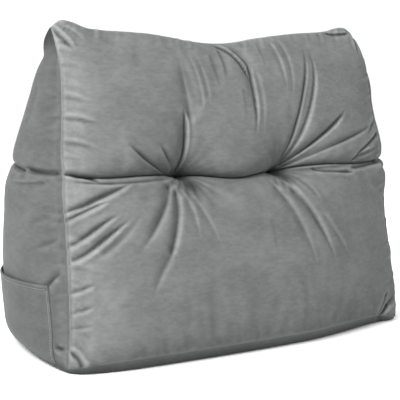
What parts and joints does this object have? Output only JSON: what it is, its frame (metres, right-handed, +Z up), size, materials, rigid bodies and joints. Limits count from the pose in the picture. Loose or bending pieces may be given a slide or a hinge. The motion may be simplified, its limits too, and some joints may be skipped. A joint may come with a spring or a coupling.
{
  "type": "triangular cushion",
  "caption": "Filled triangular back-rest cushion standing on its base, with a tufted front, a crease at mid-height, soft ears and a patch pocket on its left end.",
  "frame": {"origin": "on the flat base, under the ridge and half way between the ends", "axes": "+X along the ridge, away from the end with the pocket; +Y from the tufted front to the plain back; +Z up"},
  "size_m": [0.7098, 0.364, 0.5125],
  "materials": {
    "cushion": "short grey velvet pile, matt",
    "pocket": "short grey velvet pile, matt"
  },
  "bodies": {
    "root": {"cushion": "cushion", "pocket": "pocket"}
  },
  "joints": []
}
